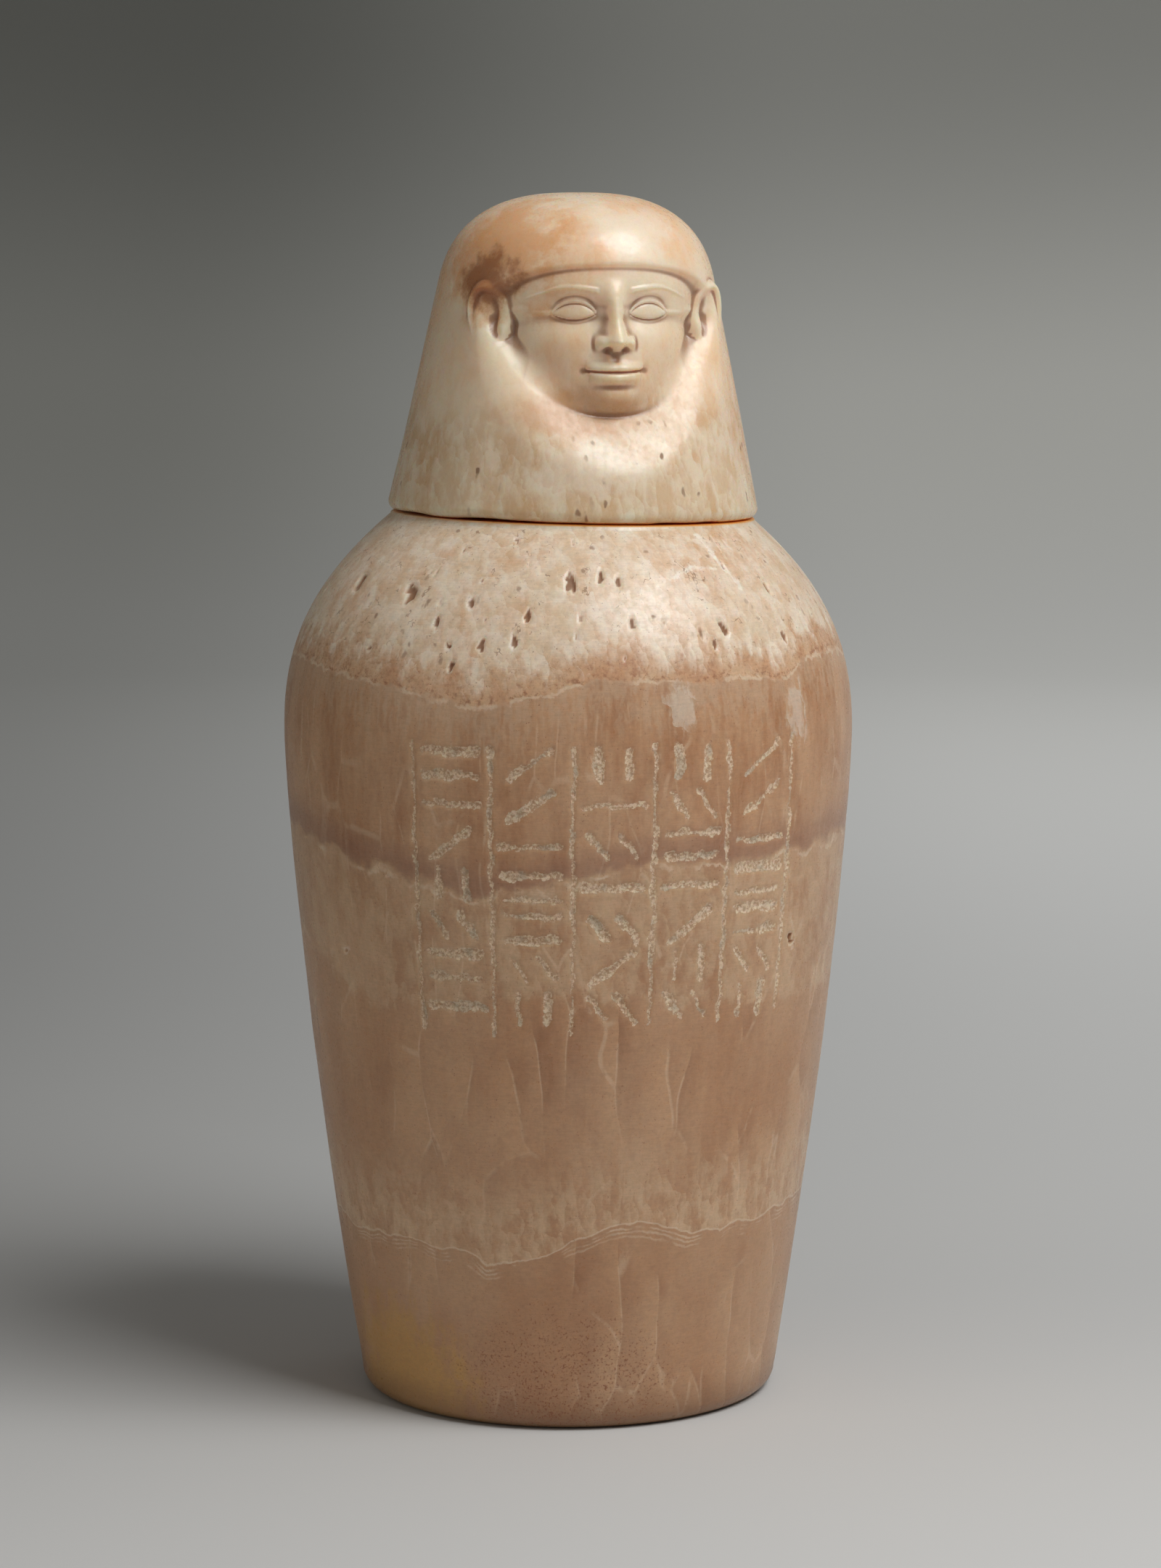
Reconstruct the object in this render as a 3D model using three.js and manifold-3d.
// A canopic jar of travertine, the banded stone called Egyptian alabaster: a thick-walled jar, hollowed and
// empty, with five columns of shallow strokes on its front, closed by a lid carved as a head in a plain wig.
// Millimetres, +Z up. The origin is in the middle of the underside and the inscription faces -Y.
import * as THREE from "three";
import { mergeVertices } from "three/addons/utils/BufferGeometryUtils.js";
import Module from "manifold-3d";

const wasm = await Module();
wasm.setup();

// The jar's outside, a turned form in two swelling curves that meet at its widest place
const WALL_HEIGHT = 199; // underside to the widest place
const SHOULDER_HEIGHT = 66; // widest place to the rim
const FOOT_RADIUS = 62; // where the wall would meet the ground, before the foot's edge is rounded
const BELLY_RADIUS = 85.2;
const RIM_RADIUS = 53.6;
const WALL_SWELL = 1.36; // 1 is a straight cone, more is rounder
const SHOULDER_SWELL = 2.5;
const FOOT_EDGE = 6; // rounding of the foot
const JAR_HEIGHT = WALL_HEIGHT + SHOULDER_HEIGHT;

// The jar's inside, which follows the outside at an even thickness of stone
const WALL = 16;
const FLOOR = 20;
const LIP_WIDTH = 15.6; // flat of the rim, from its outer edge to the mouth
const MOUTH_RADIUS = RIM_RADIUS - LIP_WIDTH;

// The seat between jar and lid was cut a little off level and falls towards +X
const SEAT_FALL = Math.tan(THREE.MathUtils.degToRad(1.3));
const SEAT_GAP = 0.3;

// The inscription's panel: ruled columns, each a stack of strokes that stand for its signs
const PANEL_BOTTOM = 122.5;
const PANEL_HEIGHT = 82.5;
const COLUMNS = 5;
const COLUMN_WIDTH = 24.1; // along the jar's widest round
const ROWS = 7;
const CELL_MARGIN = 3.2; // bare stone between a stroke and its column's rules
const RULE_WIDTH = 1.3;
const STROKE_WIDTH = 2.2;
const CUT_DEPTH = 0.9;
const CUT_FLARE = 0.6; // width of a cut's flat bottom, as a share of its width at the face
const STROKE_STEP = 20; // longest straight piece of a cut that follows the swelling wall

// The lid
const LID_HEIGHT = 95; // seat to crown
const LID_OVERHANG = 2.2; // how far the wig's hem stands past the rim
const LID_TURN = THREE.MathUtils.degToRad(6.5); // the face looks a little past the inscription, towards +X
const LID_EDGE = 3.2; // rounding of the hem
const LID_RADIUS = RIM_RADIUS + LID_OVERHANG;
const CROWN_HALF_WIDTH = 35.2; // the wig's sides, carried up straight to the crown's height
const CROWN_HALF_DEPTH = 38;
const CROWN_FORWARD = 5; // how far the crown sits before the hem's middle
const PLUG_LENGTH = 12; // the boss below the lid that keeps it in the mouth
const PLUG_CLEARANCE = 1.5;
const PLUG_EDGE = 1.5;

// The head's carving is proportioned in canon units, ninety-five to the lid's height
const UNIT = LID_HEIGHT / 95;
const CROWN_RISE = 27; // height of the rounded crown
const CROWN_SQUARENESS = 2.7;
const CHIN = 31;
const MOUTH = 43.2;
const NOSE_BASE = 49.3;
const EYE = 60.4;
const BROW = 67;
const HAIRLINE = 74.5;
const FACE_HALF_WIDTH = 28.6;
const FACE_DEPTH = 28.3;
const FACE_SINK = 1.1; // the forehead behind the wig's front
const OPENING_HALF_WIDTH = 36; // the wig's opening round the face
const OPENING_DEPTH = 11;
const EAR_ANGLE = THREE.MathUtils.degToRad(53);
const EAR_HEIGHT = 58.8;
const EAR_HALF_HEIGHT = 10.6;
const EAR_HALF_WIDTH = 6.3;
const EAR_SINK = 1.9; // the ear's plate below the wig's surface

// How finely the round forms are cut into flat faces
const JAR_SEGMENTS = 48;
const CAVITY_SEGMENTS = 28;

const { abs, atan2, cos, exp, hypot, max, min, PI, sin, sqrt } = Math;

// 0 below the first edge, 1 past the second, and smooth between them
function ease(from, to, x) {
  const t = min(max((x - from) / (to - from), 0), 1);
  return t * t * (3 - 2 * t);
}

// A round swelling, 1 in its middle and nearly gone two widths away
function swell(offset, width) {
  return exp(-((offset / width) ** 2));
}

// The larger of two, with their crossing filleted over about the size given
function fillet(a, b, size) {
  const near = max(size - abs(a - b), 0) / size;
  return max(a, b) + (near * near * size) / 4;
}

// A quarter of a superellipse: 1 at 0, 0 at 1
function roundOff(t, squareness) {
  return max(1 - min(max(t, 0), 1) ** squareness, 0) ** (1 / squareness);
}

// Outer radius of the jar at a height
function jarRadius(z) {
  if (z < WALL_HEIGHT) {
    const down = (WALL_HEIGHT - z) / WALL_HEIGHT;
    return BELLY_RADIUS - (BELLY_RADIUS - FOOT_RADIUS) * down ** WALL_SWELL;
  }
  const up = (z - WALL_HEIGHT) / SHOULDER_HEIGHT;
  return BELLY_RADIUS - (BELLY_RADIUS - RIM_RADIUS) * up ** SHOULDER_SWELL;
}

// Inner radius at a height, where the stone is WALL thick square to its face and never closes the mouth
function cavityRadius(z) {
  const step = 0.5;
  const lean = (jarRadius(z + step) - jarRadius(z - step)) / (2 * step);
  return max(jarRadius(z) - WALL * sqrt(1 + lean * lean), MOUTH_RADIUS);
}

// Height of the seat above its middle, at a place on the jar's plan
function seatHeight(x) {
  return -SEAT_FALL * x;
}

// The rim is wider on its low side, and the lid is centred on it
const rimDrop = SEAT_FALL * RIM_RADIUS;
const LID_SHIFT = (jarRadius(JAR_HEIGHT - rimDrop) - jarRadius(JAR_HEIGHT + rimDrop)) / 2;

// A closed manifold-3d solid of a three.js geometry
function solidOf(geometry) {
  const bare = geometry.clone();
  bare.deleteAttribute("normal");
  bare.deleteAttribute("uv");
  const merged = mergeVertices(bare, 1e-4);
  return new wasm.Manifold(
    new wasm.Mesh({
      numProp: 3,
      vertProperties: merged.attributes.position.array,
      triVerts: new Uint32Array(merged.index.array),
    }),
  );
}

// The three.js geometry of a manifold-3d solid
function geometryOf(solid) {
  const mesh = solid.getMesh();
  const geometry = new THREE.BufferGeometry();
  geometry.setAttribute("position", new THREE.BufferAttribute(mesh.vertProperties, mesh.numProp));
  geometry.setIndex(new THREE.BufferAttribute(mesh.triVerts, 1));
  const faceted = geometry.toNonIndexed();
  faceted.computeVertexNormals();
  return faceted;
}

// A solid turned about Z from a profile of [radius, height] pairs, listed from the bottom up
function turned(profile, segments) {
  const points = profile.map(([r, z]) => new THREE.Vector2(r, z));
  return solidOf(new THREE.LatheGeometry(points, segments).rotateX(PI / 2));
}

// A geometry of rings of points, each ring the same length, closed by a point at either end
function ringedGeometry(rings, start, end) {
  const count = rings[0].length;
  const points = [start, ...rings.flat(), end];
  const last = points.length - 1;
  const faces = [];
  for (let i = 0; i < count; i++) {
    const next = (i + 1) % count;
    faces.push(0, 1 + i, 1 + next);
    for (let j = 0; j + 1 < rings.length; j++) {
      const upper = 1 + j * count;
      const lower = upper + count;
      faces.push(upper + i, lower + i, lower + next, upper + i, lower + next, upper + next);
    }
    const edge = 1 + (rings.length - 1) * count;
    faces.push(edge + i, last, edge + next);
  }
  const geometry = new THREE.BufferGeometry().setFromPoints(points);
  geometry.setIndex(faces);
  return geometry;
}

// Evenly spaced values from one end to the other, both included
function spaced(from, to, count) {
  return Array.from({ length: count }, (_, i) => from + ((to - from) * i) / (count - 1));
}

// A shallow cutter that follows the jar's face from one place to another, places given as [angle, height]
function strokeCutter([angle0, z0], [angle1, z1], width) {
  const along = new THREE.Vector2((angle1 - angle0) * BELLY_RADIUS, z1 - z0);
  const steps = 1 + Math.ceil(along.length() / STROKE_STEP);
  const across = new THREE.Vector2(-along.y, along.x).normalize().multiplyScalar(width / 2);
  const proud = CUT_DEPTH; // how far the cutter stands out of the face
  const rings = spaced(0, 1, steps).map((t) => {
    const angle = angle0 + (angle1 - angle0) * t;
    const z = z0 + (z1 - z0) * t;
    const corners = [
      [-1, proud],
      [1, proud],
      [CUT_FLARE, -CUT_DEPTH],
      [-CUT_FLARE, -CUT_DEPTH],
    ];
    return corners.map(([side, out]) => {
      const turn = angle + (side * across.x) / BELLY_RADIUS;
      const height = z + side * across.y;
      const r = jarRadius(height) + out;
      return new THREE.Vector3(r * sin(turn), -r * cos(turn), height);
    });
  });
  const middleOf = (ring) =>
    ring.reduce((sum, p) => sum.add(p), new THREE.Vector3()).divideScalar(ring.length);
  return solidOf(ringedGeometry(rings, middleOf(rings[0]), middleOf(rings.at(-1))));
}

// The marks that fill the columns. None is a sign or a letter: each is a bar, a pair of bars or a slant,
// whose ends are given as shares of its cell's width and height.
const BAR = [[0, 0.5, 1, 0.5]];
const UPRIGHTS = [0.25, 0.75].map((x) => [x, 0, x, 1]);
const DOUBLE_BAR = [0.1, 0.9].map((y) => [0.05, y, 0.95, y]);
const SLANT = [[0.15, 0, 0.85, 1]];
const SLANTS = [0, 0.5].map((x) => [x + 0.4, 0.1, x + 0.1, 0.9]);
const MARKS = [BAR, UPRIGHTS, DOUBLE_BAR, SLANT, SLANTS];

// Every cut of the inscription: the rules between the columns, then the marks
function inscriptionCutters() {
  const width = COLUMN_WIDTH / BELLY_RADIUS;
  const margin = CELL_MARGIN / BELLY_RADIUS;
  const rowHeight = PANEL_HEIGHT / ROWS;
  const left = (-COLUMNS * width) / 2;
  const cutters = [];
  for (let i = 0; i <= COLUMNS; i++) {
    const angle = left + i * width;
    cutters.push(strokeCutter([angle, PANEL_BOTTOM], [angle, PANEL_BOTTOM + PANEL_HEIGHT], RULE_WIDTH));
  }
  for (let i = 0; i < COLUMNS; i++) {
    for (let j = 0; j < ROWS; j++) {
      const a = left + i * width + margin;
      const z = PANEL_BOTTOM + j * rowHeight + CELL_MARGIN / 2;
      const wide = width - 2 * margin;
      const high = rowHeight - CELL_MARGIN;
      for (const [x0, y0, x1, y1] of MARKS[(i * i + 2 * j + ((i * j) % 3)) % MARKS.length]) {
        cutters.push(
          strokeCutter([a + x0 * wide, z + y0 * high], [a + x1 * wide, z + y1 * high], STROKE_WIDTH),
        );
      }
    }
  }
  return cutters;
}

// The jar: turned outside, cut off along the sloping seat, hollowed, then inscribed
function makeJar() {
  const foot = spaced(0, PI / 2, 4).map((a) => [
    jarRadius(FOOT_EDGE) - FOOT_EDGE * (1 - sin(a)),
    FOOT_EDGE * (1 - cos(a)),
  ]);
  const top = JAR_HEIGHT + 2 * rimDrop + 1;
  const wall = spaced(FOOT_EDGE, WALL_HEIGHT, 6);
  const shoulder = spaced(0, 1, 7).map((t) => WALL_HEIGHT + (top - WALL_HEIGHT) * t ** 0.7);
  const outside = [...wall.slice(1), ...shoulder.slice(1)].map((z) => [jarRadius(z), z]);
  const block = turned([[0, 0], ...foot, ...outside, [0, top]], JAR_SEGMENTS);

  const corner = WALL / 2;
  const inside = spaced(FLOOR + corner, JAR_HEIGHT - WALL / 2, 9).map((z) => [cavityRadius(z), z]);
  const floorRadius = cavityRadius(FLOOR + corner) - corner;
  const mouth = [JAR_HEIGHT - WALL / 3, top + 1].map((z) => [MOUTH_RADIUS, z]);
  const inner = [[0, FLOOR], [floorRadius, FLOOR], ...inside, ...mouth, [0, top + 1]];
  const hollow = turned(inner, CAVITY_SEGMENTS);

  const wide = 3 * BELLY_RADIUS;
  const above = new THREE.BoxGeometry(wide, wide, wide).translate(0, 0, wide / 2);
  above.rotateY(Math.atan(SEAT_FALL)).translate(0, 0, JAR_HEIGHT);

  let jar = block.subtract(hollow).subtract(solidOf(above));
  for (const cutter of inscriptionCutters()) jar = jar.subtract(cutter);
  return geometryOf(jar);
}

// Half width, half depth and forward shift of the wig's oval section at a height in canon units
function wigSection(z) {
  const up = z / (LID_HEIGHT / UNIT);
  const crown = roundOff((z - (LID_HEIGHT / UNIT - CROWN_RISE)) / CROWN_RISE, CROWN_SQUARENESS);
  const taper = (bottom, top) => (bottom + (top - bottom) * up) / UNIT;
  return {
    halfWidth: taper(LID_RADIUS, CROWN_HALF_WIDTH) * crown,
    halfDepth: taper(LID_RADIUS, CROWN_HALF_DEPTH) * crown,
    forward: (CROWN_FORWARD / UNIT) * up,
  };
}

// Length of a level ray from the section's middle to an ellipse whose centre lies an offset before it
function reachOfEllipse(angle, halfWidth, halfDepth, offset) {
  const w = max(halfWidth, 1e-3);
  const d = max(halfDepth, 1e-3);
  const a = (sin(angle) / w) ** 2 + (cos(angle) / d) ** 2;
  const b = (-2 * offset * cos(angle)) / d ** 2;
  const c = (offset / d) ** 2 - 1;
  const inRoot = b * b - 4 * a * c;
  return inRoot > 0 ? (-b + sqrt(inRoot)) / (2 * a) : 0;
}

// Relief of the face on its plain egg, at a distance to either side of the middle and a height
function faceRelief(side, z) {
  const fromEye = side - 11.5;
  let relief = 0.9 * swell(side - 15.5, 8) * swell(z - 51.5, 7); // cheeks
  relief += 1.9 * swell(side, 9.5) * swell(z - MOUTH, 7.5); // muzzle
  relief += 1.9 * swell(side, 6.5) * swell(z - (CHIN + 4.2), 4.2); // chin
  relief -= 0.8 * swell(side, 6) * swell(z - (CHIN + 7.7), 1.7); // hollow above the chin
  relief -= 2.3 * swell(fromEye, 8) * swell(z - EYE, 5); // eye sockets
  relief -= 0.8 * swell(side - 6, 2.6) * swell(z - EYE - 1, 4.5);

  const up = min(max((z - NOSE_BASE - 2.7) / (BROW - NOSE_BASE - 4.7), 0), 1);
  const half = 3.5 - 1.2 * ease(0, 0.55, up) + 0.6 * ease(0.7, 1, up);
  const ridge = exp(-((side / half) ** 2.2));
  const under = ease(-1.4, 3, z - NOSE_BASE - 0.09 * side ** 2);
  relief += (5.9 - 4.2 * up ** 0.85) * ridge * under * (1 - ease(BROW - 3, BROW + 4, z)); // nose
  relief += 0.9 * swell(side, 2.8) * swell(z - NOSE_BASE - 2.8, 2.4);
  relief += 2.3 * swell(side - 4.3, 1.6) * swell(z - NOSE_BASE - 2.3, 1.7); // nostrils' wings

  const lips = MOUTH + 0.5 * (side / 8.4) ** 2;
  relief += 1.35 * roundOff(side / 8.4, 2) * swell(z - lips - 1.35, 1.5);
  relief += 1.5 * roundOff(side / 7.4, 2) * swell(z - lips + 1.8, 1.75);
  relief -= 1.1 * swell(z - lips, 0.6) * (1 - ease(7.6, 9, side));

  const across = min(abs(fromEye) / 5.9, 1);
  const inside = 1 - across ** 2;
  const level = z - EYE + 0.5;
  const opening = inside * (level > 0 ? 3 : 1.7);
  relief += 1.9 * roundOff(abs(level) / max(opening, 0.01), 2) * sqrt(inside); // eyeballs
  relief += 0.6 * swell(level - inside * 3 - 1.2, 0.9) * (1 - ease(0.9, 1, across)); // lids

  const arch = BROW - 0.7 + 1.5 * sin(min(max((side - 3.5) / 22, 0), 1) * PI) - 2.4 * ease(13, 26, side);
  relief += 0.6 * swell(side - 12, 9) * swell(z - BROW + 1, 3.2);
  relief += 0.5 * swell(z - arch, 1.1) * ease(4.2, 5.6, side) * (1 - ease(20.5, 25, side)); // brows
  return relief;
}

// Distance of the face from the section's middle, at an angle from the front and a height
function faceRadius(angle, z, wigRadius, forward) {
  const below = (56 - z) / (56 - CHIN + 1.5);
  const over = roundOff((z - BROW + 1) / 16, 2.2);
  const halfWidth = FACE_HALF_WIDTH * roundOff(below, 3) * over;
  const depth = (FACE_DEPTH - 1.6 * ease(56, HAIRLINE, z)) * roundOff(below, 6) * over;
  const atBrow = wigSection(BROW);
  const middle = atBrow.forward + atBrow.halfDepth - FACE_SINK - FACE_DEPTH;
  let egg = reachOfEllipse(angle, halfWidth, depth, middle - forward);
  const side = abs(wigRadius * sin(angle));
  const temple = 2.2 * ease(HAIRLINE - 1, EYE - 4, z) + 1.3 * (side / 30) ** 2;
  const skull = wigRadius - FACE_SINK - temple - 14 * ease(EYE + 1, EYE - 12, z);
  egg = fillet(egg, skull, 3);
  return egg + faceRelief(abs(egg * sin(angle)), z);
}

// Distance of an ear from the section's middle: a plate with a raised rim round a hollow, and a lobe
function earRadius(angle, z, plate) {
  const up = z - EAR_HEIGHT;
  const back = (abs(angle) - EAR_ANGLE) * plate - 0.1 * up;
  const halfWidth = EAR_HALF_WIDTH * (1 + (0.2 * up) / EAR_HALF_HEIGHT);
  const out = hypot(back / halfWidth, up / EAR_HALF_HEIGHT);
  const behind = ease(-0.8, 0.6, back / halfWidth + (0.35 * up) / EAR_HALF_HEIGHT);
  let radius = plate + 0.16 * back - 0.03 * up - 0.34 * max(-back - 1.5, 0);
  radius += (0.5 + 1.2 * behind) * swell(out - 0.84, 0.16); // rim
  radius -= 2.6 * (1 - ease(0.15, 0.72, hypot((back - 0.3) / halfWidth, (up - 0.6) / EAR_HALF_HEIGHT)));
  radius += 0.8 * swell(back + 4.2, 1.4) * swell(up + 2.6, 2.2);
  radius += 0.9 * swell(back + 0.6, 2.6) * swell(up + 8.2, 2.2); // lobe
  return radius - 18 * max(out - 1, 0);
}

// Place of the head's surface at an angle about the section's middle and a height, in canon units
function headPoint(turn, z) {
  const { halfWidth, halfDepth, forward } = wigSection(z);
  const x = halfWidth * sin(turn);
  const y = halfDepth * cos(turn);
  const wig = hypot(x, y);
  const angle = atan2(x, y);
  let radius = wig;
  if (y > 0) {
    const middle = EAR_HEIGHT - 0.8;
    const tall = z > middle ? HAIRLINE - middle : 42;
    const power = z > middle ? 2.6 : 2.1;
    const out = ((abs(x) / OPENING_HALF_WIDTH) ** power + (abs(z - middle) / tall) ** power) ** (1 / power);
    const low = ease(64, 34, z);
    const depth = OPENING_DEPTH + ease(50, 30, z);
    const face = faceRadius(angle, z, wig, forward);
    // The wig's edge is crisp at the brow and runs out into a soft valley below the ears
    const crisp = wig + (fillet(wig - depth, face, 0.5) - wig) * ease(1.02, 0.88, out);
    const valley = wig - depth * ease(1 + 0.1 * low, 0.95 - 0.52 * low, out);
    const soft = fillet(valley, face, 0.5 + 5 * ease(62, 42, z));
    const plate = hypot(...wigCorner(EAR_ANGLE, EAR_HEIGHT)) - EAR_SINK;
    radius = soft + (crisp - soft) * ease(middle - 5, middle + 3, z);
    radius = fillet(radius, earRadius(angle, z, plate), 0.7);
  }
  return [radius * sin(angle), -forward - radius * cos(angle)];
}

// The plain wig's surface, as distances across and to the front, at an angle and a height
function wigCorner(turn, z) {
  const { halfWidth, halfDepth } = wigSection(z);
  return [halfWidth * sin(turn), halfDepth * cos(turn)];
}

// The lid: the carved head down to its rounded hem, the flat that sits on the rim, and the plug below it
function makeLid() {
  // The face and the ears take most of the columns
  const [faceArc, earArc] = [EAR_ANGLE - 0.38, EAR_ANGLE + 0.16];
  const halfFront = [...spaced(0, faceArc, 15), ...spaced(faceArc, earArc, 10).slice(1)];
  const back = spaced(earArc, 2 * PI - earArc, 15).slice(1, -1);
  const turns = [...halfFront.slice(1).reverse().map((turn) => -turn), ...halfFront, ...back];
  const crownBase = LID_HEIGHT / UNIT - CROWN_RISE;
  const crown = spaced(1.44, 0.42, 7).map((a) => crownBase + CROWN_RISE * sin(a) ** (2 / CROWN_SQUARENESS));
  const heights = [
    ...crown,
    ...spaced(HAIRLINE, BROW + 1.5, 4),
    ...spaced(BROW, EYE - 5, 10),
    ...spaced(EYE - 7, CHIN - 3, 14),
    ...spaced(CHIN - 8, LID_EDGE / UNIT, 4),
  ];
  // The seat's slope, seen from the turned lid, is left behind within a third of the lid's height
  const seatAt = (x, y) => seatHeight(x * cos(LID_TURN) - y * sin(LID_TURN));
  const level = (x, y, z) => new THREE.Vector3(x, y, z + seatAt(x, y) * (1 - ease(0, LID_HEIGHT / 3, z)));
  const carved = heights.map((z) =>
    turns.map((turn) => {
      const [x, y] = headPoint(turn, z);
      return level(x * UNIT, y * UNIT, z * UNIT);
    }),
  );
  const round = (radius) => turns.map((turn) => [radius * sin(turn), -radius * cos(turn)]);
  const hem = [PI / 4, PI / 2].map((a) => {
    const height = LID_EDGE * (1 - sin(a));
    return round(LID_RADIUS - LID_EDGE * (1 - cos(a))).map(([x, y]) => level(x, y, height));
  });

  // The plug is centred on the mouth, not on the hem
  const [mouthX, mouthY] = [-LID_SHIFT * cos(LID_TURN), LID_SHIFT * sin(LID_TURN)];
  const plugRound = (radius) => round(radius).map(([x, y]) => [mouthX + x, mouthY + y]);
  const plugRadius = MOUTH_RADIUS - PLUG_CLEARANCE;
  const plug = [
    plugRound(plugRadius).map(([x, y]) => level(x, y, 0)),
    plugRound(plugRadius).map(([x, y]) => new THREE.Vector3(x, y, PLUG_EDGE - PLUG_LENGTH)),
    plugRound(plugRadius - PLUG_EDGE).map(([x, y]) => new THREE.Vector3(x, y, -PLUG_LENGTH)),
  ];
  const crownTop = new THREE.Vector3(0, -CROWN_FORWARD, LID_HEIGHT);
  const plugEnd = new THREE.Vector3(mouthX, mouthY, -PLUG_LENGTH);
  return ringedGeometry([...carved, ...hem, ...plug], crownTop, plugEnd);
}

// Polished travertine, pale and warm
function stone(colour) {
  return new THREE.MeshStandardMaterial({ color: colour, roughness: 0.42, metalness: 0 });
}

const jar = new THREE.Mesh(makeJar(), stone(0xbf9f82));
jar.name = "jar";

const lid = new THREE.Mesh(makeLid(), stone(0xd9bf9c));
lid.name = "head_lid";
lid.position.set(LID_SHIFT, 0, JAR_HEIGHT + SEAT_GAP - SEAT_FALL * LID_SHIFT);
lid.rotation.z = LID_TURN;

const canopicJar = new THREE.Group();
canopicJar.add(jar, lid);

export default canopicJar;
